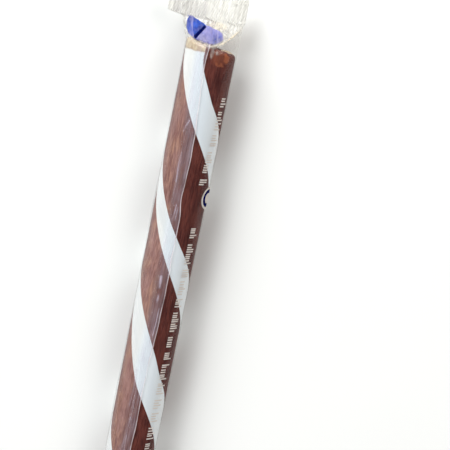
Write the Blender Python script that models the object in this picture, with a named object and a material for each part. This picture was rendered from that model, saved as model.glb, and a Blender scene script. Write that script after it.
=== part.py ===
"""A hard candy stick in its sealed clear wrapper, lying on its side.

The wrapper is a film tube that is pressed flat at both ends. It is modelled
as one closed solid, out to the film's outer form: the tube round the stick,
the folded-over seam flap along its front, the shoulders past the stick's two
ends and the flat ribbed seals with their zigzag cut.

Frame: +Y runs along the stick towards the end that shows, +Z is up, and the
origin is under the middle of the stick, on the strip that it rests on.
"""

import math

import bmesh
import bpy

# Driving sizes, in metres
CANDY_DIAMETER = 0.0110
CANDY_LENGTH = 0.1270
FILM_SLACK = 0.0010  # the film tube is this much wider than the candy
REST_HALF_ANGLE = math.radians(15)  # half of the flat strip underneath, about the stick's axis

FLAP_RISE = 0.00025  # the seam flap lies on the tube, this thick
FLAP_ROOT = math.radians(-80)  # round from straight up, + towards +X
FLAP_FULL = math.radians(-70)
FLAP_EDGE = math.radians(10)

SHOULDER_START = -0.0010  # measured from the candy's end, + outwards
FLARE_START = 0.0020
SEAL_START = 0.0062
SEAL_LENGTH = 0.0058
SEAL_WIDTH = 0.0176  # half the tube's girth, less what its waves take up
SEAL_THICKNESS = 0.0004
SEAL_SHIFT = 0.0025  # the seals lean to one side, each end the other way
SEAL_WAVE = 0.0006
SEAL_WAVE_LENGTH = 0.0150
RIB_HEIGHT = 0.00010
TOOTH_DEPTH = 0.00045
PLEAT_DEPTH = 0.00022
PLEATS = 12

# How finely the solid is faceted
SIDES = 72  # every rib of a seal has a crest and a valley
TUBE_STEPS = 10
SHOULDER_STEPS = 9
SEAL_STEPS = 4

# The clear wrapper over brown and white candy, as one mixed tone
WRAPPER_COLOUR = (0.42, 0.30, 0.27, 1.0)
WRAPPER_ROUGHNESS = 0.25

TUBE_RADIUS = (CANDY_DIAMETER + FILM_SLACK) / 2
AXIS_HEIGHT = TUBE_RADIUS * math.cos(REST_HALF_ANGLE)
QUARTER = SIDES // 4


def smooth(value, low, high):
    """0 below low, 1 above high and an even S between them."""
    t = min(max((value - low) / (high - low), 0.0), 1.0)
    return t * t * (3 - 2 * t)


def remove_all_objects():
    for item in list(bpy.data.objects):
        bpy.data.objects.remove(item, do_unlink=True)


def angle_of(side):
    """The angle of one of the section's points, 0 straight up and + towards +X."""
    angle = 2 * math.pi * side / SIDES
    return angle if side <= SIDES // 2 else angle - 2 * math.pi


def flap_rise(angle):
    """How far the folded seam stands off the tube at this angle."""
    onto_flap = smooth(angle, FLAP_ROOT, FLAP_FULL)
    past_edge = 1.0 if angle > FLAP_EDGE + 1e-6 else 0.0
    return FLAP_RISE * onto_flap * (1 - past_edge)


def tube_point(angle):
    """A point of the round section, with its flat strip underneath."""
    radius = TUBE_RADIUS + flap_rise(angle)
    return radius * math.sin(angle), max(radius * math.cos(angle), -AXIS_HEIGHT)


def seal_point(side, angle):
    """A point of the section where the tube is pressed flat: x, z and the sheet's rib there."""
    from_top = angle if abs(angle) <= math.pi / 2 else math.copysign(math.pi, angle) - angle
    across = from_top / (math.pi / 2)
    upper = 1 if abs(angle) < math.pi / 2 else -1
    at_fold = math.isclose(abs(across), 1.0)
    half_thickness = 0.0 if at_fold else upper * SEAL_THICKNESS / 2
    rib = RIB_HEIGHT * (1 if side % 2 else -1)
    return across * SEAL_WIDTH / 2, half_thickness, rib


def wrapper_point(side, outward, end):
    """A point of the wrapper, for one of the section's points.

    outward is the distance past the candy's end, negative along the stick,
    and end is +1 for the end that shows and -1 for the other.
    """
    angle = angle_of(side)
    tube_x, tube_z = tube_point(angle)
    seal_x, seal_z, rib = seal_point(side, angle)

    flatter = smooth(outward, SHOULDER_START, SEAL_START)
    wider = smooth(outward, FLARE_START, SEAL_START)
    in_seal = smooth(outward, SEAL_START - 0.001, SEAL_START)

    pleat = PLEAT_DEPTH * 4 * flatter * (1 - flatter) * math.cos(PLEATS * angle)
    x = tube_x + pleat * math.sin(angle)
    x += (seal_x - x) * wider - end * SEAL_SHIFT * wider
    z = tube_z + pleat * math.cos(angle)
    z += (seal_z - z) * flatter
    z += SEAL_WAVE * flatter * math.sin(2 * math.pi * x / SEAL_WAVE_LENGTH + end)
    z += rib * in_seal

    at_cut = smooth(outward, SEAL_START + SEAL_LENGTH / 2, SEAL_START + SEAL_LENGTH)
    tooth = TOOTH_DEPTH * at_cut * (side % 2)
    y = end * (CANDY_LENGTH / 2 + outward - tooth)
    return x, y, AXIS_HEIGHT + z


def even_steps(start, stop, steps):
    """The places after start, up to and including stop."""
    return [start + (stop - start) * step / steps for step in range(1, steps + 1)]


def stations():
    """Where the wrapper's sections lie, from the hidden end to the one that shows."""
    outwards = [SHOULDER_START]
    outwards += even_steps(SHOULDER_START, SEAL_START, SHOULDER_STEPS)
    outwards += even_steps(SEAL_START, SEAL_START + SEAL_LENGTH, SEAL_STEPS)
    half_tube = CANDY_LENGTH / 2 + SHOULDER_START
    places = [(outward, -1) for outward in reversed(outwards)]
    for y in even_steps(-half_tube, half_tube, TUBE_STEPS)[:-1]:
        places.append((abs(y) - CANDY_LENGTH / 2, 1 if y >= 0 else -1))
    return places + [(outward, 1) for outward in outwards]


def close_seal(mesh, ring, reverse):
    """Faces across the cut edge of a seal, from the upper sheet to the lower one."""
    half = SIDES // 2
    for side in range(-QUARTER, QUARTER):
        corners = [ring[side], ring[side + 1], ring[half - side - 1], ring[half - side]]
        corners = list(dict.fromkeys(corners))  # at the folds the two sheets share a point
        mesh.faces.new(corners[::-1] if reverse else corners)


def make_wrapper():
    mesh = bmesh.new()
    rings = []
    for outward, end in stations():
        ring = [mesh.verts.new(wrapper_point(side, outward, end)) for side in range(SIDES)]
        rings.append(ring)
    for near, far in zip(rings, rings[1:]):
        for side in range(SIDES):
            following = (side + 1) % SIDES
            mesh.faces.new((near[side], near[following], far[following], far[side]))
    close_seal(mesh, rings[0], reverse=True)
    close_seal(mesh, rings[-1], reverse=False)
    bmesh.ops.triangulate(mesh, faces=mesh.faces[:])

    data = bpy.data.meshes.new("wrapped_candy_stick")
    mesh.to_mesh(data)
    mesh.free()
    data.shade_smooth()
    data.set_sharp_from_angle(angle=math.radians(40))
    wrapper = bpy.data.objects.new("wrapped_candy_stick", data)
    bpy.context.scene.collection.objects.link(wrapper)
    return wrapper


def paint_wrapper(wrapper):
    material = bpy.data.materials.new("clear_film")
    material.use_nodes = True
    shader = material.node_tree.nodes["Principled BSDF"]
    shader.inputs["Base Color"].default_value = WRAPPER_COLOUR
    shader.inputs["Roughness"].default_value = WRAPPER_ROUGHNESS
    shader.inputs["Metallic"].default_value = 0.0
    wrapper.data.materials.append(material)


def main():
    remove_all_objects()
    paint_wrapper(make_wrapper())


main()
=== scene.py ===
"""The looks of a hard candy stick in its sealed clear wrapper.

The stick is brown boiled sugar with two white stripes that wind round it.
Its wrapper is a clear film tube: loose round the stick, pinched at the
shoulders, and pressed flat and ribbed at both ends. The tube's long seam is
a doubled flap that lies folded over along the front.

Everything is in metres. The stick lies along Y, with the end that shows at
+Y and the shown side up.
"""

import math
from math import pi, radians

import bpy
import numpy as np
from mathutils import Matrix, Vector


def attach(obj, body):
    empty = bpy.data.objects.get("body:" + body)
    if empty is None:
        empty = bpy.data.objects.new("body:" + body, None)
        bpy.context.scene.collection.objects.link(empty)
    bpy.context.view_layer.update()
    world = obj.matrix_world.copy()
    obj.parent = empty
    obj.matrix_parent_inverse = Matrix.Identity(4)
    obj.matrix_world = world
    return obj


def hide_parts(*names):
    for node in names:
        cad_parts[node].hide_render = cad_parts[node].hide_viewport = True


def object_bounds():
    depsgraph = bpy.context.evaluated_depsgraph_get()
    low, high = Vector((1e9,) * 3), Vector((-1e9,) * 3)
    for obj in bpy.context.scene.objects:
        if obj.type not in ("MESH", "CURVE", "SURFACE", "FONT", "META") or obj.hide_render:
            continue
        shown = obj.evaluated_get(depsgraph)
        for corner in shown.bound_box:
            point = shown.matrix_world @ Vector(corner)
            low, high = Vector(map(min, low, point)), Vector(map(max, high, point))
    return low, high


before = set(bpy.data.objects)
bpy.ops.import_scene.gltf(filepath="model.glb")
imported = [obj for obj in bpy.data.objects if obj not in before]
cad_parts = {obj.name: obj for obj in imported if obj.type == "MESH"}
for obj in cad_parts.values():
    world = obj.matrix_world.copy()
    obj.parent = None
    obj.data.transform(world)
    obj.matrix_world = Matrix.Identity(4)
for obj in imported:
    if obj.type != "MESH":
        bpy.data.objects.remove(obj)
CAD_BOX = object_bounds()

# -------- sizes

MM = 0.001

# The film, fitted to the box of the solid that it replaces
REST_HALF_ANGLE = radians(15)  # half of the flat strip underneath, about the stick's axis
FLAP_RISE = 0.25 * MM  # what the folded seam adds on top
TUBE_RADIUS = (CAD_BOX[1][2] - FLAP_RISE) / (1 + math.cos(REST_HALF_ANGLE))
AXIS_HEIGHT = TUBE_RADIUS * math.cos(REST_HALF_ANGLE)
FILM_HALF = CAD_BOX[1][1]
SHOULDER_START = -1.0 * MM  # measured from the candy's end, + outwards
NECK_WIDENING = 0.27  # the flattened neck spreads this much more on one side
FLARE_START = 5.5 * MM
FLARE_END = 6.4 * MM
SEAL_START = 6.2 * MM
SEAL_LENGTH = 5.8 * MM
SEAL_SHIFT = 2.5 * MM
SEAL_WIDTH = 2 * (CAD_BOX[1][0] - SEAL_SHIFT)
SEAL_GAP = 0.12 * MM
SEAL_WAVE = 0.35 * MM
SEAL_WAVE_LENGTH = 15.0 * MM
RIB_PITCH = 0.98 * MM
RIB_HEIGHT = 0.05 * MM
TOOTH_DEPTH = 0.45 * MM
FINE_RIB_PITCH = 0.50 * MM
FINE_RIB_LEAN = radians(18)

FLAP_ROOT = radians(-78)
# The flap's free edge: millimetres from the shown end, degrees from straight up
SEAM_WANDER = (
    (0, -1.5), (5, -3.5), (14, 2), (19, 5.8), (23, 6.2), (26.5, 5.6), (30, 5.6), (34.6, 3.6),
    (35.6, 6.2), (39, 8.6), (43, 9.4), (53, 10), (61, 10), (66.5, 9.0), (72, 6), (83, 4.0), (88, 5.5),
    (94, 3.5), (108, 4.5), (127, 2.0),
)
FLAP_THICKNESS = 0.09 * MM

CANDY_RADIUS = TUBE_RADIUS - 0.2 * MM
CANDY_HALF = FILM_HALF - SEAL_LENGTH - SEAL_START
CANDY_LENGTH = 2 * CANDY_HALF
CANDY_HEIGHT = AXIS_HEIGHT + 0.04 * MM  # of the stick's axis, inside the film

# The stripes: angles are round the stick, from straight up and + towards +X
STRIPE_PITCH = 64.0 * MM
WIDE_STRIPE = radians(74)
NARROW_STRIPE = radians(49)
NARROW_AFTER_WIDE = radians(166)
WIDE_ON_TOP = 11.35 * MM  # the wide stripe's middle faces up this far from the shown end

# How each stripe edge strays from its even winding: millimetres from the shown end, degrees
STRAYING = (
    (
        (0, 8), (8, 5), (13, 1), (18, -1), (23, 1), (28, 5), (62, 22), (67, 20), (72, 10), (76, 3),
        (80, -3), (90, -1),
    ),
    (
        (0, 20), (1.5, 8), (3, -1), (5, -6), (10, -10), (13, -12), (15, -5), (56, 6), (66, 2),
        (72, -2), (77, -9), (82, -5),
    ),
    ((37, 9), (42, 5), (46, 2), (52, 0), (110, 0)),
    ((30, 2), (40, -3), (46, 1), (49, 6), (52, 9), (80, 0), (110, 0)),
)

# -------- helpers


def smooth(value, low, high):
    """0 below low, 1 above high and an even S between them."""
    t = np.clip((value - low) / (high - low), 0, 1)
    return t * t * (3 - 2 * t)


def bell(value, middle, half_width):
    """1 at the middle, falling off evenly to 0 on both sides of it."""
    return np.exp(-(((value - middle) / half_width) ** 2))


def turned(angle):
    """The same angle, brought between -pi and pi."""
    return (angle + pi) % (2 * pi) - pi


def ripples(u, v, seed, finest, coarsest, waves=24):
    """Smooth uneven noise of about -1 to 1 over a surface, with bumps of those sizes."""
    draw = np.random.default_rng(seed)
    total = np.zeros(np.broadcast(u, v).shape)
    for _ in range(waves):
        length = math.exp(draw.uniform(math.log(finest), math.log(coarsest)))
        heading, phase = draw.uniform(0, 2 * pi, 2)
        step = (u * math.cos(heading) + v * math.sin(heading)) / length
        total += np.cos(2 * pi * step + phase)
    return total / math.sqrt(waves)


def patch(angle, place, middle_angle, middle_place, half_angle, half_length):
    """1 inside a soft-edged oval, 0 well outside it; the oval is in degrees and millimetres."""
    off = (np.degrees(turned(angle - radians(middle_angle))) / half_angle) ** 2
    off = off + ((place - middle_place * MM) / (half_length * MM)) ** 2
    return 1 - smooth(np.sqrt(off), 0.6, 1.3)


def patches(angle, place, ovals):
    """Soft ovals added up. Each has its strength first, and then what patch() takes."""
    return sum(strength * patch(angle, place, *oval) for strength, *oval in ovals)


def between_knots(from_end, knots):
    """The angle between knots in millimetres and degrees, evened over a few millimetres."""
    places, angles = np.array(knots).T
    shifts = MM * np.linspace(-1.5, 1.5, 5)
    shifted = [np.interp(from_end + shift, places * MM, angles) for shift in shifts]
    return np.radians(np.mean(shifted, axis=0))


def flap_edge(along):
    """The angle of the seam flap's free edge, which wanders and has one jog."""
    waver = radians(0.5) * ripples(along, 0 * along, 71, 5 * MM, 14 * MM, waves=8)
    return between_knots(CANDY_HALF - along, SEAM_WANDER) + waver


def sheet_faces(rows, columns, closed):
    """Quads over a grid of points; closed joins the last column to the first."""
    index = np.arange(rows * columns).reshape(rows, columns)
    following = np.roll(index, -1, axis=1)
    if not closed:
        index, following = index[:, :-1], following[:, :-1]
    quads = np.stack([index[:-1], following[:-1], following[1:], index[1:]], axis=-1)
    return quads.reshape(-1, 4).tolist()


def shut_tube_faces(rows, columns, upper, lower):
    """Faces of a tube with its first and last row shut, from its upper to its lower columns."""
    faces = [face[::-1] for face in sheet_faces(rows, columns, closed=True)]
    for start in (0, (rows - 1) * columns):
        for corners in zip(upper, upper[1:], lower[1:], lower):
            corners = list(dict.fromkeys(start + column for column in corners))
            faces.append(corners[::-1] if start else corners)
    return faces


def new_object(name, data):
    made = bpy.data.objects.new(name, data)
    bpy.context.scene.collection.objects.link(made)
    return made


def new_piece(name, points, faces, materials):
    """A smooth-shaded mesh that rides on the stick's one body."""
    mesh = bpy.data.meshes.new(name)
    mesh.from_pydata(np.asarray(points).reshape(-1, 3).tolist(), [], faces)
    for material in materials:
        mesh.materials.append(material)
    mesh.shade_smooth()
    mesh.validate()
    piece = new_object(name, mesh)
    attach(piece, "root")
    return piece


def keep_values(piece, name, values, places=False):
    """Stores a number or a place for each point, for the piece's material to read."""
    kind, field = ("FLOAT_VECTOR", "vector") if places else ("FLOAT", "value")
    attribute = piece.data.attributes.new(name, kind, "POINT")
    attribute.data.foreach_set(field, np.asarray(values, np.float32).ravel())


# -------- materials

# The sugar's colours: linear red, green and blue, and alpha
DARK_BROWN = (0.055, 0.010, 0.009, 1)
RED_BROWN = (0.135, 0.034, 0.0255, 1)
# DULL_BROWN, PINK_BROWN and GOLD_BROWN are the tones of a painted sheen: light off the doubled flap,
# over the brown under it
DULL_BROWN = (0.215, 0.090, 0.077, 1)
PINK_BROWN = (0.385, 0.205, 0.175, 1)
GOLD_BROWN = (0.420, 0.225, 0.158, 1)
AMBER = (0.34, 0.10, 0.045, 1)
GREY_WHITE = (0.79, 0.81, 0.82, 1)
WARM_WHITE = (0.90, 0.905, 0.89, 1)
# ICY_WHITE and COOL_GREY are painted light on the white: a bluish reflection and a bluish-grey shade
ICY_WHITE = (0.82, 0.91, 0.97, 1)
COOL_GREY = (0.635, 0.695, 0.765, 1)
DARK_CREAM = (0.50, 0.36, 0.25, 1)
LIGHT_CREAM = (0.72, 0.62, 0.43, 1)
TAN = (0.42, 0.31, 0.24, 1)

FILM_SHINE = 0.02  # how much the film mirrors where it is seen straight on


class Look:
    """A material under construction: makes its nodes and joins them."""

    def __init__(self, name):
        self.material = bpy.data.materials.new(name)
        self.material.use_nodes = True
        self.tree = self.material.node_tree
        self.tree.nodes.clear()

    def add(self, kind, sockets=(), **settings):
        """A node of that kind. sockets gives values or other nodes' outputs, by name or number."""
        made = self.tree.nodes.new("ShaderNode" + kind)
        for name, value in settings.items():
            setattr(made, name, value)
        for key, value in dict(sockets).items():
            if isinstance(value, bpy.types.NodeSocket):
                self.tree.links.new(value, made.inputs[key])
            else:
                made.inputs[key].default_value = value
        return made

    def maths(self, operation, first, second=0.0, clamp=False):
        sockets = {0: first, 1: second}
        return self.add("Math", sockets, operation=operation, use_clamp=clamp).outputs[0]

    def spread(self, value, low, high, to_low=0.0, to_high=1.0):
        """value brought from low..high to to_low..to_high."""
        sockets = {"Value": value, "From Min": low, "From Max": high}
        sockets |= {"To Min": to_low, "To Max": to_high}
        return self.add("MapRange", sockets).outputs["Result"]

    def stored(self, name, kind="Fac"):
        return self.add("Attribute", attribute_name=name).outputs[kind]

    def noise(self, place, scale, stretch=(1, 1, 1), detail=3.0, roughness=0.55):
        placed = self.add("Mapping", {"Vector": place, "Scale": stretch}).outputs[0]
        sockets = {"Vector": placed, "Scale": scale, "Detail": detail, "Roughness": roughness}
        return self.add("TexNoise", sockets).outputs["Fac"]

    def object_place(self):
        return self.add("TexCoord").outputs["Object"]

    def colour_mix(self, share, first, second):
        sockets = {0: share, 6: first, 7: second}
        return self.add("Mix", sockets, data_type="RGBA").outputs[2]

    def bump(self, height, strength, distance):
        sockets = {"Height": height, "Strength": strength, "Distance": distance}
        return self.add("Bump", sockets).outputs["Normal"]

    def blend(self, share, first, second):
        sockets = {0: share, 1: first, 2: second}
        return self.add("MixShader", sockets).outputs[0]

    def solid(self, colour, roughness, relief=None, shine=0.5):
        sockets = {"Base Color": colour, "Roughness": roughness, "Specular IOR Level": shine}
        if relief is not None:
            sockets["Normal"] = relief
        return self.add("BsdfPrincipled", sockets).outputs[0]

    def done(self, surface):
        self.add("OutputMaterial", {"Surface": surface})
        return self.material


def streaked(look, place, finest, stretch, clouds_share, low=0.41, high=0.59):
    """Uneven tone of pulled sugar, 0 to 1: fibres and broader clouds, both drawn out lengthwise."""
    fibres = look.noise(place, finest, (1, stretch, 1), detail=4, roughness=0.7)
    clouds = look.noise(place, finest / 6, (1, stretch * 3, 1), detail=2)
    fibres_part = look.maths("MULTIPLY", fibres, 1 - clouds_share)
    tone = look.maths("ADD", fibres_part, look.maths("MULTIPLY", clouds, clouds_share))
    return look.spread(tone, low, high), fibres


def brown_sugar():
    """Dark and even where it shows plainly, and paler and fibrous under the cloudy flap, where the
    paler tone is a painted sheen: the haze of light off the doubled flap and the brighter light from
    the left.

    The stored value painted_sheen says where it is the paler one, and amber where light glows through
    it.
    """
    look = Look("brown_sugar")
    place = look.object_place()
    tone, fibres = streaked(look, place, 3400, 0.10, 0.35)
    deep = look.colour_mix(tone, DARK_BROWN, RED_BROWN)
    shifted = look.add("Mapping", {"Vector": place, "Location": (0.3, 0.1, 0.2)}).outputs[0]
    gold, _ = streaked(look, shifted, 3600, 0.10, 0.20, 0.42, 0.57)
    warmth = look.spread(look.noise(shifted, 420, (1, 0.35, 1), detail=2), 0.42, 0.58)
    light = look.colour_mix(warmth, PINK_BROWN, GOLD_BROWN)
    pale = look.colour_mix(gold, DULL_BROWN, light)
    # Painted sheen: the paler tone stands for light off the doubled flap
    colour = look.colour_mix(look.stored("painted_sheen"), deep, pale)
    patchy = look.spread(look.noise(place, 700, (1, 0.8, 1), detail=2), 0.35, 0.50, 0.4, 1.0)
    glow = look.maths("MULTIPLY", look.stored("amber"), patchy)
    colour = look.colour_mix(glow, colour, AMBER)
    relief = look.bump(fibres, 0.25, 0.00006)
    return look.done(look.solid(colour, 0.5, relief, shine=0.1))


def white_sugar():
    """White, with fibres that follow the stripes' winding.

    The stored values painted_blue_sheen and painted_grey_shade tint it with painted light: a bluish
    reflection next to the flap's edge and a bluish-grey shade beside the flap. cream and tan say
    where its end is broken off. sugar is a place on the stick with the winding taken out.
    """
    look = Look("white_sugar")
    place = look.stored("sugar", "Vector")
    tone, fibres = streaked(look, place, 1100, 0.07, 0.5)
    colour = look.colour_mix(tone, GREY_WHITE, WARM_WHITE)
    # Painted light: a bluish reflection near the flap's edge, and a bluish-grey shade beside the flap
    colour = look.colour_mix(look.stored("painted_blue_sheen"), colour, ICY_WHITE)
    colour = look.colour_mix(look.stored("painted_grey_shade"), colour, COOL_GREY)
    grainy = look.spread(look.noise(look.object_place(), 1800, (1, 0.3, 1)), 0.35, 0.65)
    cream = look.colour_mix(grainy, DARK_CREAM, LIGHT_CREAM)
    cream = look.colour_mix(look.stored("tan"), cream, TAN)
    colour = look.colour_mix(look.stored("cream"), colour, cream)
    relief = look.bump(fibres, 0.2, 0.00005)
    return look.done(look.solid(colour, 0.42, relief, shine=0.3))


def film(name, roughness, clear, cloudy, folded):
    """Clear film: see-through, with a sheen that grows at grazing angles and cloudy creases.

    The stored value cloud_and_glints says how cloudy the film is, painted glints included, fold where
    that has the folded colour and not the cloudy one, seal where the film is pressed into fine ribs,
    and matt where it shines less.
    """
    look = Look(name)
    place = look.object_place()
    streaks = look.noise(place, 1500, (1, 0.06, 1), detail=3)
    crinkle = look.noise(place, 900, (1, 0.28, 1), detail=4, roughness=0.6)
    wobble = look.noise(place, 250, (1, 0.5, 1), detail=2)
    leaning = look.add("Mapping", {"Vector": place, "Rotation": (0, 0, FINE_RIB_LEAN)}).outputs[0]
    across = look.add("SeparateXYZ", {0: leaning}).outputs["X"]
    wavy = look.maths("MULTIPLY", wobble, 9.0)
    ribs = look.maths("ADD", look.maths("MULTIPLY", across, 2 * pi / FINE_RIB_PITCH), wavy)
    ribs = look.maths("MULTIPLY", look.maths("SINE", ribs), look.stored("seal"))
    height = look.maths("ADD", look.maths("MULTIPLY", streaks, 0.6), crinkle)
    height = look.maths("ADD", height, look.maths("MULTIPLY", ribs, 0.22))
    relief = look.bump(height, 0.35, 0.00018)

    facing = look.add("LayerWeight", {"Blend": 0.5, "Normal": relief}).outputs["Facing"]
    grazing = look.maths("MULTIPLY", look.maths("POWER", facing, 6.0), 0.3)
    sheen = look.maths("ADD", grazing, FILM_SHINE, clamp=True)
    sheen = look.maths("MULTIPLY", sheen, look.maths("SUBTRACT", 1.0, look.stored("matt")))
    see_through = look.add("BsdfTransparent", {"Color": clear}).outputs[0]
    gloss = look.add("BsdfAnisotropic", {"Roughness": roughness, "Normal": relief}).outputs[0]
    bare = look.blend(sheen, see_through, gloss)

    uneven = look.spread(look.maths("ADD", streaks, crinkle), 0.80, 1.20, 0.45, 1.55)
    ribbed = look.maths("ADD", uneven, look.maths("MULTIPLY", ribs, 0.2))
    # Painted glints come in through the same stored value as the cloudy film
    milk_and_glints = look.maths("MULTIPLY", look.stored("cloud_and_glints"), ribbed, clamp=True)
    colour = look.colour_mix(look.stored("fold"), cloudy, folded)
    lit = look.solid(colour, 0.35, relief, shine=0.25)
    lit_through = look.add("BsdfTranslucent", {"Color": colour, "Normal": relief}).outputs[0]
    return look.done(look.blend(milk_and_glints, bare, look.blend(0.35, lit, lit_through)))


def ink(name, colour, darker, pale, cover, deep=(0, 0, 0, 1)):
    """Printing ink on film: a thin dull colour that lets a little light through.

    The stored value pale says where it has its pale colour, under cloudy film or over a white stripe,
    where for the white ink it is a darker colour that paints shade; faded how much of the ink is
    missing, and deep where it lies double and has its deep colour.
    """
    look = Look(name)
    place = look.object_place()
    patchy = look.noise(place, 700, (1, 0.5, 1), detail=3)
    tone = look.spread(patchy, 0.35, 0.65)
    mixed = look.colour_mix(tone, darker, colour)
    mixed = look.colour_mix(look.stored("pale"), mixed, pale)
    mixed = look.colour_mix(look.stored("deep"), mixed, deep)
    relief = look.bump(patchy, 0.2, 0.0001)
    lit_through = look.add("BsdfTranslucent", {"Color": mixed}).outputs[0]
    printed = look.blend(0.25, look.solid(mixed, 0.5, relief, shine=0.01), lit_through)
    through = look.add("BsdfTransparent", {"Color": (1, 1, 1, 1)}).outputs[0]
    covered = look.spread(patchy, 0.3, 0.7, cover - 0.08, cover + 0.08)
    kept = look.maths("SUBTRACT", 1.0, look.stored("faded"))
    covered = look.maths("MULTIPLY", covered, kept)
    covered = look.maths("MAXIMUM", covered, look.stored("deep"))
    return look.done(look.blend(covered, through, printed))


def floor_look():
    look = Look("pale_floor")
    place = look.object_place()
    tone = look.noise(place, 14, detail=2)
    colour = look.colour_mix(tone, (0.86, 0.86, 0.85, 1), (0.89, 0.89, 0.885, 1))
    return look.done(look.solid(colour, 0.7))


# -------- candy

STRIPE_COLUMNS = 36  # across each stripe and each brown gap
CANDY_ROWS = 270
CANDY_END_ROWS = 30  # close together over the first millimetres, where the sugar is broken
END_RINGS = 12
END_ROUNDING = 1.0 * MM
END_REACH = 0.45 * MM  # the ends are broken off slanting: this much longer in the middle
END_SLANT = 1.15 * MM  # and this much more on one side, less on the other
SLANT_FADE = 5.0 * MM
STRIPE_INLAY = 3.0 * MM  # how far in from the rim a stripe shows on the end
GROOVE_DEPTH = 0.035 * MM  # along the stripes' edges
DRAW_LINES = 46  # faint ridges that wind with the stripes, from pulling the sugar
DRAW_HEIGHT = 0.012 * MM
# Where light glows through an end: strength, then an oval's middle and half size, degrees and mm
AMBER_GLOWS = ((0.9, 44, 1.7, 8, 1.3), (0.6, 27, 3.2, 9, 0.4), (0.30, 20, 1.6, 16, 1.8))


def stripe_edges(along):
    """The angles of the four stripe edges at a place along the stick, in turning order."""
    from_end = CANDY_HALF - along
    middle = 2 * pi * (from_end - WIDE_ON_TOP) / STRIPE_PITCH
    other = middle + NARROW_AFTER_WIDE
    wide, narrow = WIDE_STRIPE / 2, NARROW_STRIPE / 2
    even = [middle - wide, middle + wide, other - narrow, other + narrow]
    edges = [edge + between_knots(from_end, knots) for edge, knots in zip(even, STRAYING)]
    return np.stack(edges, axis=-1)


def end_shift(angle, along):
    """How far the slanting breaks move a place near one of the candy's ends, + outwards."""
    side = np.where(along > 0, np.sin(angle), -np.sin(angle))
    fade = 1 - smooth(CANDY_HALF - np.abs(along), 0.8 * MM, SLANT_FADE)
    return (END_REACH - END_SLANT * side) * fade


def candy_columns(along):
    """The angle of every column of points: each stripe and gap is cut into equal shares."""
    edges = stripe_edges(along)
    closing = np.concatenate([edges[:, 1:], edges[:, :1] + 2 * pi], axis=1)
    shares = np.arange(STRIPE_COLUMNS) / STRIPE_COLUMNS
    spans = edges[:, :, None] + (closing - edges)[:, :, None] * shares
    return spans.reshape(len(along), -1)


def candy_profile():
    """Rows from the middle of one end to the middle of the other: radius and place along."""
    inwards = np.linspace(0.02, 1, END_RINGS)
    turn = np.linspace(0, pi / 2, 9)[1:]
    rim = CANDY_RADIUS - END_ROUNDING
    end_radius = np.concatenate([inwards * rim, rim + END_ROUNDING * np.sin(turn)])
    end_along = np.concatenate([0 * inwards, END_ROUNDING * (1 - np.cos(turn))])
    near = np.linspace(END_ROUNDING, SLANT_FADE, CANDY_END_ROWS)[1:-1]
    middle = np.linspace(SLANT_FADE, CANDY_LENGTH - SLANT_FADE, CANDY_ROWS)
    body = np.concatenate([near, middle, CANDY_LENGTH - near[::-1]])
    radius = np.concatenate([end_radius, body * 0 + CANDY_RADIUS, end_radius[::-1]])
    along = np.concatenate([end_along, body, CANDY_LENGTH - end_along[::-1]])
    return radius, along - CANDY_HALF


def paint_stripes(candy, radius, columns):
    """Gives the stripes' faces the second material; on the ends only near the rim."""
    rows = len(radius)
    part_of_face = np.tile(np.arange(columns), rows - 1) // STRIPE_COLUMNS  # even for a stripe
    row_of_face = np.repeat(np.arange(rows - 1), columns)
    in_stripe = (part_of_face % 2 == 0) & (radius[row_of_face] > CANDY_RADIUS - STRIPE_INLAY)
    indices = np.zeros(len(candy.data.polygons), np.int32)
    indices[: len(in_stripe)] = in_stripe
    candy.data.polygons.foreach_set("material_index", indices)


def keep_candy_tones(candy, angle, here, place):
    """Stores the tones that the sugar's two materials read."""
    arc = angle * CANDY_RADIUS
    round_it = turned(angle)
    inwards = CANDY_HALF - np.abs(place)
    wavy = round_it + radians(4) * ripples(arc, here, 14, 0.7 * MM, 3 * MM)
    depth = inwards + 0.3 * MM * ripples(arc, here, 15, 0.7 * MM, 3 * MM)
    keep_values(candy, "amber", np.clip(patches(wavy, depth, AMBER_GLOWS), 0, 1))

    # Creamy over the broken last millimetre, which has a tan border
    ragged = inwards + 0.10 * MM * ripples(arc, here, 12, 0.8 * MM, 3 * MM)
    keep_values(candy, "cream", 1 - smooth(ragged, 1.0 * MM, 1.3 * MM))
    keep_values(candy, "tan", 0.8 * bell(ragged, 1.05 * MM, 0.22 * MM))

    # Painted sheen: under the flap the brown is paler, most of all well in from the flap's free edge,
    # and towards the left limb it fades back to the dark brown as painted shade
    degrees = np.degrees(round_it)
    from_edge = np.degrees(flap_edge(here) - round_it)
    under_flap = from_edge > 0
    painted_sheen = smooth(degrees, -95, -48) * (0.30 + 0.70 * smooth(from_edge, 19, 35))
    painted_sheen = painted_sheen * (0.4 + 0.6 * smooth(from_edge, 0, 9))
    keep_values(candy, "painted_sheen", painted_sheen * under_flap)

    # There the white has a painted bluish reflection next to that edge; beside the flap it has a
    # painted bluish-grey shade, strongest near the top
    painted_blue_sheen = 0.95 * (1 - smooth(from_edge, 12, 40))
    painted_grey_shade = np.interp(degrees, [0, 20, 35, 60], [0.85, 0.75, 0.5, 0.2])
    by_seam = (1 - smooth(degrees, 8, 25)) * smooth(CANDY_HALF - here, 36 * MM, 44 * MM)
    painted_grey_shade = painted_grey_shade * (1 - 0.35 * by_seam)
    keep_values(candy, "painted_blue_sheen", np.where(under_flap, painted_blue_sheen, 0.3))
    keep_values(candy, "painted_grey_shade", np.where(under_flap, 0.12 * painted_blue_sheen, painted_grey_shade))


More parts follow.
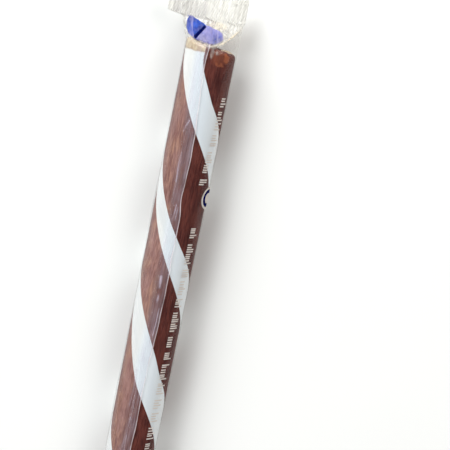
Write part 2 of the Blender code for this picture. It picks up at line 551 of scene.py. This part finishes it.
def make_candy(materials):
    """The candy, with grooves along its stripes and its ends broken off slanting."""
    radius, along = candy_profile()
    angle = candy_columns(along)
    rows, columns = angle.shape
    here = along[:, None]

    uneven = 0.02 * MM * ripples(angle * CANDY_RADIUS, here, 3, 12 * MM, 40 * MM)
    edge_distance = np.abs(turned(angle[:, :, None] - stripe_edges(along)[:, None, :])).min(-1)
    groove = -GROOVE_DEPTH * bell(edge_distance, 0, radians(3))
    draws = DRAW_HEIGHT * np.cos(angle * DRAW_LINES - here / STRIPE_PITCH * DRAW_LINES * 2 * pi)
    share = radius[:, None] / CANDY_RADIUS
    reach = radius[:, None] + (uneven + groove + draws) * share

    broken = smooth(np.abs(here), CANDY_HALF - 1.2 * MM, CANDY_HALF)
    chips = ripples(reach * np.cos(angle), reach * np.sin(angle), 9, 3.0 * MM, 9 * MM)
    shift = end_shift(angle, here) * share - 0.25 * MM * broken * (chips + 0.6)
    place = here + np.sign(here) * shift

    points = [reach * np.sin(angle), place, CANDY_HEIGHT + reach * np.cos(angle)]
    faces = [face[::-1] for face in sheet_faces(rows, columns, closed=True)]
    faces.append(list(range(columns)))
    faces.append([(rows - 1) * columns + column for column in reversed(range(columns))])
    candy = new_piece("candy_stick", np.stack(points, axis=-1), faces, materials)
    paint_stripes(candy, radius, columns)

    winding = angle - 2 * pi * (CANDY_HALF - here) / STRIPE_PITCH
    sugar = [reach * np.sin(winding), here + 0 * angle, reach * np.cos(winding)]
    keep_values(candy, "sugar", np.stack(sugar, axis=-1), places=True)
    keep_candy_tones(candy, angle, here, place)


# -------- film

FILM_COLUMNS = 300
END_STEP = 0.14 * MM
TUBE_STEP = 1.25 * MM
END_ROWS_FROM = -3.0 * MM
SAGS = 0.75 * MM  # how far a shoulder caves in past the rim fold
WRINKLES = 0.10 * MM  # how high the fine ones on a shoulder are
INWARD_SHARE = 0.3  # the candy stops the film from caving in further
FILM_CLEARANCE = 0.12 * MM  # between the film and the candy's ends

# Kinds of sharp folds: how many, lengths and half widths in mm, height in mm, and how far they lean
LONG_FOLDS = (60, (8, 40), (0.15, 0.5), 0.10, 0.05)
GATHERS = (90, (2, 8), (0.10, 0.40), 0.24, 0.45)
SEAL_CREASES = (70, (2, 8), (0.08, 0.4), 0.16, 1.0)

# The fold round each end where the film caves in: degrees, mm past the candy's end, and strength
RIM_FOLD = (
    (-180, 2.0, 0.6), (-120, 3.2, 0.4), (-80, 2.2, 0.2), (-55, 1.4, 0.05), (-30, 0.9, 0.0),
    (-10, 0.5, 0.1), (5, 0.5, 0.7), (26, 1.6, 1.0), (45, 3.2, 1.0), (66, 5.0, 1.0),
    (85, 5.5, 0.9), (120, 4.2, 0.6), (150, 2.6, 0.6), (180, 2.0, 0.6),
)
RIM_WIDTH = 0.38 * MM

# Sharp folds over a shoulder: half width in mm, how cloudy, and their way in degrees and mm outwards
FOLD_LINES = (
    (0.20, 0.90, ((-46, 7), (-55, 6.1), (-62, 5), (-67, 3.9), (-74, 2.7), (-79, 1.4), (-81, -1.5))),
    (0.14, 0.60, ((-66, 6.0), (-72, 4.6), (-79, 3.2), (-84, 1.6), (-86, -1.0))),
    (0.14, 0.45, ((-2, 4.4), (8, 4.5), (16, 4.2), (23, 3.6), (30, 3.2))),
    (0.12, 0.40, ((30, 3.9), (38, 4.3), (47, 4.3), (56, 4.9))),
    (0.10, 0.50, ((22, 6.9), (20, 6.1), (21, 5.4))),
    (0.10, 0.50, ((28, 6.6), (25, 5.7))),
    (0.10, 0.45, ((33, 6.3), (30, 5.5), (30, 5.0))),
    (0.10, 0.45, ((40, 6.4), (37, 5.6))),
    (0.12, 0.35, ((12, 5.6), (16, 5.0), (24, 4.7), (33, 4.8))),
)

# Cloudy places on a shoulder, the last two of them painted glints over the candy's end: strength,
# then an oval's middle and half size, degrees and mm
CLOUD_AND_GLINT_PATCHES = ((0.5, 50, 4.8, 7, 0.8), (0.35, 6.5, -1.0, 3.5, 1.1), (0.30, 17, -0.7, 4.5, 0.5))


def folded_angle(angle):
    """The angle on the upper half that a place lies on, or under, once the tube is flat."""
    return np.where(np.abs(angle) <= pi / 2, angle, np.sign(angle) * pi - angle)


def wrapper_form(angle, along):
    """The wrapper's broad form: a tube that is pressed flat at both ends."""
    end = np.sign(along)
    outward = np.abs(along) - CANDY_HALF
    spreading = smooth(outward, 0, FLARE_START) * smooth(-end * np.sin(angle), 0.3, 1)
    tube_x = TUBE_RADIUS * np.sin(angle) * (1 + NECK_WIDENING * spreading)
    tube_z = np.maximum(TUBE_RADIUS * np.cos(angle), -AXIS_HEIGHT)
    across = folded_angle(angle) / (pi / 2)
    upper = np.cos(angle) / np.maximum(np.abs(np.cos(angle)), 0.08)

    flatter = smooth(outward, SHOULDER_START, SEAL_START)
    wider = smooth(outward, FLARE_START, FLARE_END)
    x = tube_x + (across * SEAL_WIDTH / 2 - tube_x) * wider - end * SEAL_SHIFT * wider
    z = tube_z + (upper * SEAL_GAP / 2 - tube_z) * flatter
    z = z + SEAL_WAVE * flatter * np.sin(2 * pi * x / SEAL_WAVE_LENGTH + end)
    at_cut = smooth(outward, SEAL_START + SEAL_LENGTH / 2, SEAL_START + SEAL_LENGTH)
    teeth = 0.5 + 0.5 * np.cos(2 * pi * across * SEAL_WIDTH / 2 / RIB_PITCH)
    y = end * (CANDY_HALF + outward - TOOTH_DEPTH * at_cut * teeth)
    return np.stack([x, y, AXIS_HEIGHT + z], axis=-1)


def creases(angle, along, seed, ends, kind):
    """Sharp folds scattered over the film: ridges and valleys that fade out at both ends."""
    count, lengths, widths, height, lean = kind
    draw = np.random.default_rng(seed)
    total = np.zeros(np.broadcast(angle, along).shape)
    for _ in range(count):
        middle_angle = draw.uniform(-pi, pi)
        middle_along = draw.uniform(*ends)
        heading = draw.normal(0, lean)
        half_length = MM * draw.uniform(*lengths) / 2
        half_width = MM * draw.uniform(*widths)
        size = MM * height * draw.uniform(0.35, 1.0) * draw.choice([-1, 1])
        round_it = turned(angle - middle_angle) * TUBE_RADIUS
        down_it = along - middle_along
        run = round_it * math.sin(heading) + down_it * math.cos(heading)
        off = round_it * math.cos(heading) - down_it * math.sin(heading)
        fade = np.clip(1 - (run / half_length) ** 2, 0, 1)
        total += size * fade * np.exp(-np.abs(off) / half_width)
    return total


def end_creases(angle, along, seeds, reach, kind):
    """Sharp folds over both ends; reach is from and to how far past the candy's end."""
    total = np.zeros_like(angle)
    for end, seed in zip((-1, 1), seeds):
        ends = sorted(end * (CANDY_HALF + outward) for outward in reach)
        total += creases(angle, along, seed, ends, kind)
    return total


def tube_relief(angle, along):
    """The loose tube's slack and its long folds, which end above the floor."""
    slack = 0.10 * MM * ripples(angle * TUBE_RADIUS, along * 0.35, 5, 4 * MM, 16 * MM)
    folds = creases(angle, along, 6, (-CANDY_HALF, CANDY_HALF), LONG_FOLDS)
    relief = (slack + folds) * smooth(np.cos(angle), -0.96, -0.80)
    return np.where(relief < 0, INWARD_SHARE * relief, relief)


def film_rows():
    """Places along the film, close together at the ends where it is creased."""
    end_rows = np.arange(END_ROWS_FROM, SEAL_START + SEAL_LENGTH, END_STEP)
    end_rows = np.append(end_rows, SEAL_START + SEAL_LENGTH) + CANDY_HALF
    half = CANDY_HALF + END_ROWS_FROM
    tube = np.arange(-half + TUBE_STEP, half - TUBE_STEP / 2, TUBE_STEP)
    return np.concatenate([-end_rows[::-1], tube, end_rows])


def normals_of(points):
    """Outward directions over a grid that closes on itself across."""
    round_it = np.roll(points, -1, axis=1) - np.roll(points, 1, axis=1)
    down_it = np.gradient(points, axis=0)
    normal = np.cross(round_it, down_it)
    return normal / np.maximum(np.linalg.norm(normal, axis=-1, keepdims=True), 1e-12)


def fold_lines(lines, angle, place):
    """How strongly each place lies on one of the lines, and how cloudy it is there."""
    ridge, cloud_and_glints = 0 * angle, 0 * angle
    here = np.stack([TUBE_RADIUS * angle, place + 0 * angle], axis=-1)
    for half_width, strength, way in lines:
        corners = np.array(way) * [TUBE_RADIUS * radians(1), MM]
        nearest = np.full(angle.shape, np.inf)
        for start, stop in zip(corners, corners[1:]):
            step = stop - start
            share = np.clip(((here - start) @ step) / (step @ step), 0, 1)
            off = here - start - share[..., None] * step
            nearest = np.minimum(nearest, np.linalg.norm(off, axis=-1))
        on_it = bell(nearest, 0, half_width * MM)
        ridge, cloud_and_glints = np.maximum(ridge, on_it), np.maximum(cloud_and_glints, strength * on_it)
    return ridge, cloud_and_glints


def matt_rim(angle, outward):
    """Where the film lies crumpled on the candy's rim and doesn't mirror the lamps."""
    return 0.6 * patch(angle, outward, -18, -0.1, 30, 0.9)


def over_candy(points, angle, along):
    """Moves points that would be inside the candy's ends out to where the film lies on them."""
    inside = CANDY_HALF + end_shift(angle, np.sign(along) * CANDY_HALF) - np.abs(points[..., 1])
    turn = 1 - np.clip(inside / END_ROUNDING, 0, 1)
    needed = CANDY_RADIUS - END_ROUNDING + END_ROUNDING * np.sqrt(1 - turn**2) + FILM_CLEARANCE
    off_x, off_z = points[..., 0], points[..., 2] - CANDY_HEIGHT
    grow = np.maximum(needed / np.hypot(off_x, off_z), 1)
    grow = np.where((inside > 0) & (off_z > -0.8 * TUBE_RADIUS), grow, 1)
    points[..., 0] = off_x * grow
    points[..., 2] = CANDY_HEIGHT + off_z * grow
    return points


class Film:
    """The wrapper's surface, with its creases, and whatever lies on it.

    Its grid has a row for each place along the film and a column for each
    angle round it. Every array but along has a value for each of its points.
    """

    def __init__(self):
        self.along = film_rows()
        columns = -pi + 2 * pi * np.arange(FILM_COLUMNS) / FILM_COLUMNS
        angle, along = np.meshgrid(columns, self.along)
        self.outward = np.abs(along) - CANDY_HALF  # past the candy's end
        self.mirrored = np.where(along > 0, angle, turned(-angle))  # makes both ends alike
        self.near_end = smooth(self.outward, -4 * MM, 1.5 * MM)
        self.flat = smooth(self.outward, SEAL_START - 3.0 * MM, SEAL_START - 0.2 * MM)

        rim_angles, rim_places, rim_strengths = np.array(RIM_FOLD).T
        degrees = np.degrees(self.mirrored)
        self.past_rim = self.outward - np.interp(degrees, rim_angles, MM * rim_places)
        self.rim = np.interp(degrees, rim_angles, rim_strengths) * bell(self.past_rim, 0, RIM_WIDTH)
        self.sunk = smooth(self.past_rim, 0, 0.55 * MM)

        loose = tube_relief(angle, along)
        self.gathers = end_creases(angle, along, (19, 21), (-1 * MM, 7 * MM), GATHERS)
        wrinkles = ripples(angle * TUBE_RADIUS, along * 0.6, 8, 0.8 * MM, 3 * MM, waves=40)
        folds, self.folds_cloud = fold_lines(FOLD_LINES, self.mirrored, self.outward)
        shoulder = self.gathers * (0.35 + 0.65 * self.sunk) + WRINKLES * wrinkles * self.sunk
        flatter = smooth(self.outward, SHOULDER_START, SEAL_START)
        shoulder += 0.30 * MM * self.rim - SAGS * self.sunk * (1 - flatter)
        relief = loose * (1 - self.near_end) + shoulder * self.near_end + 0.10 * MM * folds
        calm_sides = np.clip(np.abs(np.cos(angle)) / 0.25, 0.15, 1)
        relief = relief * np.where(self.outward > 0, calm_sides, 1)

        folded = folded_angle(angle)
        ribs = np.cos(2 * pi * folded / (pi / 2) * SEAL_WIDTH / 2 / RIB_PITCH)
        seal = (4 * MM, SEAL_START + SEAL_LENGTH)
        self.seal_creases = end_creases(folded, along, (31, 32), seal, SEAL_CREASES)

        form = wrapper_form(angle, along)
        points = form + normals_of(form) * (relief * (1 - self.flat))[..., None]
        self.points = over_candy(points, angle, along)
        self.points[..., 2] += (RIB_HEIGHT * ribs + self.seal_creases) * self.flat
        self.normals = normals_of(self.points)
        self.set_tones()

    def set_tones(self):
        """Sets the values that the film's material reads."""
        outward, mirrored, flat = self.outward, self.mirrored, self.flat
        degrees = np.degrees(mirrored)
        # A creamy band past the rim, along the blue field's lower side
        veil = bell(self.past_rim, 0.15 * MM, 0.42 * MM) * (outward > 0)
        veil = veil * smooth(degrees, -62, -45) * (1 - smooth(degrees, -10, 4))
        # Beyond that field the shoulder is evener and duller, with a creamy tint
        even = patch(mirrored, outward, -8, 5.2, 34, 1.3)
        tinted = 0.55 * patch(mirrored, outward, 2, 4.9, 24, 0.9)
        rim = self.rim * self.near_end * (1 - flat)
        # Painted highlights: milky lines along both sides of the film near the ends, standing for its
        # grazing reflection
        sides = bell(np.abs(degrees), 88, 6) * smooth(outward, -3 * MM, -1 * MM) * (1 - flat)
        creased = np.abs(self.gathers) * self.near_end * (1 - flat) / MM
        creased = 0.7 * np.clip(creased - 0.06, 0, 0.4)
        creased += 1.2 * np.clip(np.abs(self.seal_creases * flat) / MM - 0.03, 0, 0.3)

        # The cloudy film gets painted highlights added in too: the lines along the sides and two
        # glints over the candy's end
        milk_and_glints = 0.004 + 0.05 * smooth(outward, -1 * MM, 0.5 * MM)
        milk_and_glints += 0.36 * self.sunk * self.near_end + 0.42 * flat
        milk_and_glints += 0.60 * veil + 0.85 * rim + 0.35 * sides + self.folds_cloud
        milk_and_glints += patches(mirrored, outward, CLOUD_AND_GLINT_PATCHES) + creased * (1 - 0.8 * even)
        matt = np.maximum.reduce([0.9 * flat, matt_rim(mirrored, outward), 0.85 * even])
        fold = np.maximum.reduce([rim, 0.9 * veil, tinted])
        self.tones = {"cloud_and_glints": np.clip(milk_and_glints, 0, 0.92), "seal": flat, "fold": fold, "matt": matt}

    def sample(self, values, angle, along):
        """Values of the film's grid at other places, evened between its points."""
        row = np.interp(along, self.along, np.arange(len(self.along)))
        column = turned(angle) / (2 * pi) * FILM_COLUMNS + FILM_COLUMNS / 2
        low_row = np.clip(np.floor(row).astype(int), 0, len(self.along) - 2)
        low_column = np.floor(column).astype(int)
        part_row, part_column = row - low_row, column - low_column
        total = 0
        for down, down_share in ((0, 1 - part_row), (1, part_row)):
            for over, over_share in ((0, 1 - part_column), (1, part_column)):
                taken = values[low_row + down, (low_column + over) % FILM_COLUMNS]
                share = down_share * over_share
                total = total + taken * (share[..., None] if taken.ndim > share.ndim else share)
        return total

    def at(self, angle, along, lift):
        """Points that stand off the film by lift."""
        angle, along, lift = np.broadcast_arrays(angle, along, lift)
        points = self.sample(self.points, angle, along)
        return points + self.sample(self.normals, angle, along) * lift[..., None]


def make_film(surface, material):
    """The clear film, shut at both cut edges, which stands for the CAD solid."""
    from_top = np.arange(FILM_COLUMNS // 2 + 1)
    upper = (FILM_COLUMNS // 4 + from_top) % FILM_COLUMNS
    lower = (FILM_COLUMNS // 4 - from_top) % FILM_COLUMNS
    faces = shut_tube_faces(*surface.flat.shape, upper.tolist(), lower.tolist())
    wrapper = new_piece("clear_wrapper", surface.points, faces, [material])
    for name, values in surface.tones.items():
        keep_values(wrapper, name, values)
    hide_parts("wrapped_candy_stick")


# -------- seam flap

# Shares of the way across the flap, close together at its free edge
FLAP_SHARES = np.concatenate([np.linspace(0, 0.90, 58), np.linspace(0.90, 1, 16)[1:]])
FLAP_STEP = 0.5 * MM
FLAP_LIFT = 0.05 * MM  # off the film at the flap's root
FLAP_LOOSENESS = 0.07 * MM  # and this much more at its free edge
FLAP_CLEARANCE = 0.03 * MM  # it comes no closer than this
HEAT_SEAL = 0.7 * MM  # the flap's free edge is joined over this width
CLOUDY_BAND = 2.6 * MM  # and it is cloudy over this one
EDGE_BEAD = 0.16 * MM  # its cut edge catches the light this far in
# Painted glints: small milky streaks on the flap that stand for light caught by its creases, given as
# FOLD_LINES has them, but in mm from the shown end
FLAP_PAINTED_GLINTS = (
    (0.16, 0.40, ((-12, 16.2), (-17, 17.6), (-21, 19.0))),
    (0.12, 0.22, ((-15, 24.0), (-17, 27.0), (-15, 30.5))),
    (0.12, 0.35, ((-4, 35.8), (-5, 37.6), (-8, 39.6))),
    (0.12, 0.25, ((0.5, 36.2), (-1, 39.4))),
    (0.32, 0.45, ((-5.5, 53.2), (-5, 55.4))),
    (0.30, 0.42, ((-4.5, 57.6), (-4, 58.8))),
    (0.10, 0.30, ((3, 60.5), (2.5, 64), (1, 67))),
    (0.14, 0.22, ((-20, 76), (-17, 80), (-19, 85))),
    (0.12, 0.25, ((-11, 88), (-12, 92), (-10, 97))),
    (0.14, 0.25, ((-7, 103), (-9, 108), (-8, 112))),
)


def both_sheets(upper, lower):
    """Values over the flap's upper sheet, and back over its lower one."""
    return np.concatenate([upper, lower[:, ::-1]], axis=1)


def make_flap(surface, material):
    """The doubled film of the long seam."""
    middle = CANDY_HALF + END_ROWS_FROM
    near, far = surface.along[surface.along <= -middle], surface.along[surface.along >= middle]
    along = np.concatenate([near, np.arange(-middle + FLAP_STEP, middle, FLAP_STEP), far])
    shares = FLAP_SHARES
    edge_angle = flap_edge(along)[:, None]
    angle = FLAP_ROOT + (edge_angle - FLAP_ROOT) * shares
    here = along[:, None] + 0 * angle
    outward = np.abs(here) - CANDY_HALF
    loose = 1 - smooth(outward, 1 * MM, SEAL_START)
    lift = FLAP_LIFT + FLAP_LOOSENESS * shares * loose
    uneven = 0.05 * MM * shares * (1 - 0.9 * smooth(outward, -3 * MM, -0.5 * MM))
    lift = lift + uneven * ripples(angle * TUBE_RADIUS, here * 0.4, 72, 2 * MM, 8 * MM)
    lift = np.maximum(lift, FLAP_CLEARANCE)
    thick = FLAP_THICKNESS * smooth(shares, 0.0, 0.05) + 0.01 * MM
    points = both_sheets(surface.at(angle, here, lift + thick), surface.at(angle, here, lift))
    rows, columns = points.shape[:2]
    upper = list(range(len(shares)))
    lower = [columns - 1 - column for column in upper]
    faces = shut_tube_faces(rows, columns, upper, lower)
    flap = new_piece("seam_flap", points, faces, [material])

    from_edge = (edge_angle - angle) * TUBE_RADIUS
    streaks = ripples(angle * TUBE_RADIUS, here * 0.05, 73, 0.35 * MM, 2 * MM)
    band = (1 - smooth(from_edge, 0.75 * CLOUDY_BAND, 1.2 * CLOUDY_BAND)) * loose
    edge = bell(from_edge, 0, EDGE_BEAD) * (1 - smooth(outward, 1.5 * MM, 4 * MM))
    cloud_and_glints = 0.025 + 0.07 * band + (0.010 + 0.035 * band) * streaks + 0.80 * edge
    cloud_and_glints = cloud_and_glints + 0.07 * bell(from_edge, HEAT_SEAL, 0.08 * MM)
    # Painted glints where creases on the flap would catch the light
    cloud_and_glints = cloud_and_glints + fold_lines(FLAP_PAINTED_GLINTS, angle, CANDY_HALF - here)[1]
    cloud_and_glints = cloud_and_glints * (1 + 0.4 * smooth(outward, 0, SEAL_START))
    matt = matt_rim(np.where(here > 0, angle, -angle), outward)
    keep_values(flap, "cloud_and_glints", np.clip(both_sheets(cloud_and_glints, 0.3 * cloud_and_glints), 0.01, 0.9))
    keep_values(flap, "fold", both_sheets(edge, edge))
    keep_values(flap, "matt", both_sheets(matt, matt))


# -------- prints

PRINT_LIFT = 0.03 * MM  # of the small prints, off the film
FIELD_LIFT = 0.25 * MM  # of the blue field, which spans the shoulder's creases
FIELD_ROWS = 80
FIELD_COLUMNS = 200
# The blue field's outline: degrees, and from and to so many mm past the candy's end
FIELD_OUTLINE = (
    (-66.5, 2.1, 2.8), (-64, 1.95, 3.9), (-61, 1.85, 5.0), (-57, 1.7, 5.85), (-49, 1.5, 5.85),
    (-43, 1.25, 5.5), (-29, 0.85, 4.8), (-18, 0.9, 4.45), (-5, 0.7, 4.2), (10, 0.95, 3.9),
    (17, 1.7, 3.6), (22.5, 2.3, 2.8),
)
DARK_BAR = ((-43.5, 1.5), (-20.8, 4.35))  # where it starts and stops, in the same measures
DARK_BAR_WIDTHS = (0.80 * MM, 0.62 * MM)


def field_grid():
    """The blue field's angles, places along the stick, and shares of the way up it."""
    angles, lows, highs = np.array(FIELD_OUTLINE).T
    share = np.linspace(0, len(angles) - 1, FIELD_COLUMNS)
    numbers = np.arange(len(angles))
    angle = np.radians(np.interp(share, numbers, angles))
    low = np.interp(share, numbers, CANDY_HALF + MM * lows)
    high = np.interp(share, numbers, CANDY_HALF + MM * highs)
    up = np.linspace(0, 1, FIELD_ROWS)[:, None]
    along = low + (high - low) * up
    return angle + 0 * along, along, up + 0 * along


def make_end_mark(surface, material):
    """The plain blue field on the shown end's shoulder, with a dark bar."""
    angle, along, up = field_grid()
    points = surface.at(angle, along, FIELD_LIFT)
    faces = sheet_faces(FIELD_ROWS, FIELD_COLUMNS, closed=False)
    mark = new_piece("end_mark", points, faces, [material])

    # Right of a slanting border the field is under cloudier film, and paler
    degrees = np.degrees(angle)
    right = degrees + 38 - 19 * up
    pale = 0.02 + 0.83 * smooth(right, -3, 2)
    # The far left is paler too, most of all low down, with a pale streak where it starts
    left = 1 - smooth(degrees, -51, -44)
    streak = bell(degrees, -46 - 3.5 * up, 1.9)
    pale += 0.18 * left + 0.40 * left * (1 - smooth(up, 0.0, 0.4)) + 0.85 * streak * (1 - 0.4 * up)
    # Near the right end a bluer spot, with a pale line through it where a crease runs: a painted
    # highlight on that crease
    pale -= 0.75 * bell(degrees, 9, 9) * bell(up, 0.42, 0.42)
    pale += 0.6 * bell(degrees + 8 * (up - 0.5), 11, 1.6)
    pale += 0.10 * ripples(angle * TUBE_RADIUS, along, 83, 0.5 * MM, 2 * MM)
    keep_values(mark, "pale", np.clip(pale, 0, 1))

    faded = 0.60 * (1 - smooth(up, 0.0, 0.20)) + 0.30 * (1 - smooth(up, 0.1, 0.7))
    keep_values(mark, "faded", faded * smooth(right, 0, 3))
    bar_angles, bar_places = np.array(DARK_BAR).T
    ends = surface.at(np.radians(bar_angles), CANDY_HALF + MM * bar_places, FIELD_LIFT)
    keep_values(mark, "deep", on_bar(points, ends, *DARK_BAR_WIDTHS))


def on_bar(points, ends, width_at_start, width_at_stop):
    """1 on a straight bar between the two ends as seen from above, 0 off it."""
    way = (ends[1] - ends[0])[:2]
    heading = way / np.linalg.norm(way)
    off = points[..., :2] - ends[0, :2]
    run = (off @ heading) / np.linalg.norm(way)
    side = np.abs(off @ np.array([-heading[1], heading[0]]))
    half = (width_at_start + (width_at_stop - width_at_start) * run) / 2
    soft = 0.05 * MM
    within = smooth(half - side, -soft, soft)
    return within * smooth(run, -0.01, 0.01) * smooth(1 - run, -0.01, 0.01)


BAR_WIDTH = 0.32 * MM
BAR_LENGTHS = (0.65, 0.65, 1.0)  # picked at random, a share of the row's height
# Each row: where it starts and stops, its lower side's angle there in degrees, height and spacing
BAR_ROWS = (
    (CANDY_HALF - 10.7 * MM, CANDY_HALF - 30.9 * MM, 52, 36, 2.2 * MM, 0.60 * MM),
    (CANDY_HALF - 41.1 * MM, -CANDY_HALF + 12 * MM, 40, 33, 2.2 * MM, 0.58 * MM),
)


def over_white(angle, along):
    """1 where a place on the film is over one of the white stripes, 0 over the brown."""
    edges = stripe_edges(np.atleast_1d(along))
    over = np.zeros(angle.shape)
    for first in (0, 2):
        past_first = (angle - edges[:, first]) % (2 * pi)
        over = np.maximum(over, past_first < edges[:, first + 1] - edges[:, first])
    return over


def make_print_bars(surface, material):
    """Two rows of short plain bars along the film's right side, darker over white, where that darker
    tone is painted shade.
    """
    draw = np.random.default_rng(81)
    points, faces, darker = [], [], []
    for start, stop, low_at_start, low_at_stop, tall, spacing in BAR_ROWS:
        place = start
        while place > stop:
            for _ in range(draw.integers(4, 10)):
                if place <= stop:
                    break
                length = tall * draw.choice(BAR_LENGTHS) / TUBE_RADIUS
                low = np.interp(place, (stop, start), (low_at_stop, low_at_start))
                angle = radians(low) + length * np.linspace(0, 1, 6)
                bar = surface.at(angle, place + BAR_WIDTH * np.array([[0], [1]]), PRINT_LIFT)
                first = sum(len(block) for block in points)
                points.append(bar.reshape(-1, 3))
                darker.append(np.tile(over_white(angle, place), 2))
                for face in sheet_faces(2, 6, closed=False):
                    faces.append([first + corner for corner in face])
                place -= spacing * draw.uniform(0.75, 1.3)
            place -= draw.uniform(0.7, 1.2) * MM
    bars = new_piece("print_bars", np.concatenate(points), faces, [material])
    # Over the white stripes the bars take a darker colour: painted shade that makes them show against
    # the white
    keep_values(bars, "pale", 0.85 * np.concatenate(darker))


ROUND_MARK_AT = (radians(78), CANDY_HALF - 33.8 * MM)
# Its flat rings: the piece's name, the inner and outer radius, and whether it is white
ROUND_MARK_RINGS = (
    ("round_mark_ring", 2.1 * MM, 2.65 * MM, True),
    ("round_mark_band", 1.25 * MM, 2.1 * MM, False),
    ("round_mark_middle", 0.004 * MM, 1.25 * MM, True),
)


def make_round_mark(surface, white, navy):
    """A plain ring with a filled middle, between the two rows of bars."""
    middle_angle, middle = ROUND_MARK_AT
    turn = np.linspace(0, 2 * pi, 49)[:-1]
    for name, inner, outer, is_white in ROUND_MARK_RINGS:
        reach = np.linspace(inner, outer, 7)[:, None]
        angle = middle_angle + reach * np.sin(turn) / TUBE_RADIUS
        along = middle + reach * np.cos(turn)
        points = surface.at(angle, along, PRINT_LIFT)
        faces = sheet_faces(*angle.shape, closed=True)
        material, slot = (white, "white_print") if is_white else (navy, "blue_print")
        new_piece(name, points, faces, [material])


# -------- stage

FLOOR_HALF = 4.0
FLOOR_DROP = 0.05 * MM  # below the stick's underside
CAMERA_LENS = 100.0
SENSOR_WIDTH = 36.0
PICTURE_SIDE = 450  # the photograph's width and height in its pixels
CAMERA_TILT = radians(12)  # from straight down, towards the shown end
STICK_LEAN = radians(11.9)  # of the stick in the picture, its top to the right
CANDY_END_AT = (211.5, 47.0)  # where the middle of the candy's end is in the photograph
CAMERA_DISTANCE = 281 * MM  # from that end, along the camera's axis


def make_camera():
    turn = Matrix.Rotation(-CAMERA_TILT, 3, "X") @ Matrix.Rotation(STICK_LEAN, 3, "Z")
    right, up, back = turn.col
    pixel = SENSOR_WIDTH / CAMERA_LENS / PICTURE_SIDE * CAMERA_DISTANCE
    sideways = (CANDY_END_AT[0] - PICTURE_SIDE / 2) * pixel
    upwards = (PICTURE_SIDE / 2 - CANDY_END_AT[1]) * pixel
    data = bpy.data.cameras.new("camera")
    data.lens = CAMERA_LENS
    data.sensor_width = SENSOR_WIDTH
    data.clip_start, data.clip_end = 0.01, 20
    camera = new_object("camera", data)
    place = Vector((0, CANDY_HALF, AXIS_HEIGHT)) + back * CAMERA_DISTANCE
    place -= right * sideways + up * upwards
    camera.matrix_world = Matrix.Translation(place) @ turn.to_4x4()
    bpy.context.scene.camera = camera


def soft_light(name, place, size, power, colour):
    data = bpy.data.lights.new(name, "AREA")
    data.shape = "RECTANGLE"
    data.size, data.size_y = size
    data.energy = power
    data.color = colour
    light = new_object(name, data)
    light.location = place
    light.rotation_mode = "QUATERNION"
    aim = Vector((0, 0, AXIS_HEIGHT)) - Vector(place)
    light.rotation_quaternion = aim.to_track_quat("-Z", "Y")
    light.visible_camera = False


def make_stage():
    signs = ((-1, -1), (1, -1), (1, 1), (-1, 1))
    corners = [(x * FLOOR_HALF, y * FLOOR_HALF, -FLOOR_DROP) for x, y in signs]
    mesh = bpy.data.meshes.new("floor")
    mesh.from_pydata(corners, [], [(0, 1, 2, 3)])
    mesh.materials.append(floor_look())
    new_object("floor", mesh)

    world = bpy.data.worlds.new("studio")
    world.use_nodes = True
    background = world.node_tree.nodes["Background"]
    background.inputs["Color"].default_value = (0.93, 0.96, 1.0, 1)
    background.inputs["Strength"].default_value = 0.24
    bpy.context.scene.world = world
    bpy.context.scene.view_settings.view_transform = "Standard"

    square = (1.0, 1.0)
    soft_light("key", (-0.84, 1.00, 0.90), square, power=33.0, colour=(0.98, 1.0, 0.985))
    soft_light("fill", (0.90, 0.84, 1.00), square, power=11.8, colour=(1.0, 0.95, 0.89))
    soft_light("strip", (-0.45, -0.14, 0.67), (0.9, 0.03), power=0.4, colour=(0.9, 0.96, 1.0))


def main():
    make_candy([brown_sugar(), white_sugar()])
    surface = Film()
    clear_film = film(
        "clear_film", roughness=0.12, clear=(0.985, 0.985, 0.98, 1),
        cloudy=(0.87, 0.86, 0.825, 1), folded=(0.84, 0.74, 0.57, 1),
    )
    flap_film = film(
        "flap_film", roughness=0.16, clear=(0.97, 0.97, 0.97, 1),
        cloudy=(0.80, 0.71, 0.84, 1), folded=(0.84, 0.77, 0.77, 1),
    )
    make_film(surface, clear_film)
    make_flap(surface, flap_film)
    blue = ink(
        "blue_ink", (0.032, 0.105, 0.56, 1), darker=(0.010, 0.032, 0.27, 1),
        pale=(0.35, 0.33, 0.63, 1), cover=0.88, deep=(0.0005, 0.003, 0.07, 1),
    )
    # The white ink's pale colour is darker: it paints shade on the bars over the white stripes
    white = ink(
        "white_ink", (0.90, 0.84, 0.79, 1), darker=(0.78, 0.72, 0.67, 1),
        pale=(0.70, 0.65, 0.61, 1), cover=1.0,
    )
    navy = ink(
        "navy_ink", (0.001, 0.005, 0.12, 1), darker=(0.001, 0.003, 0.08, 1),
        pale=(1, 1, 1, 1), cover=1.08,
    )
    make_end_mark(surface, blue)
    make_print_bars(surface, white)
    make_round_mark(surface, white, navy)
    make_camera()
    make_stage()


main()
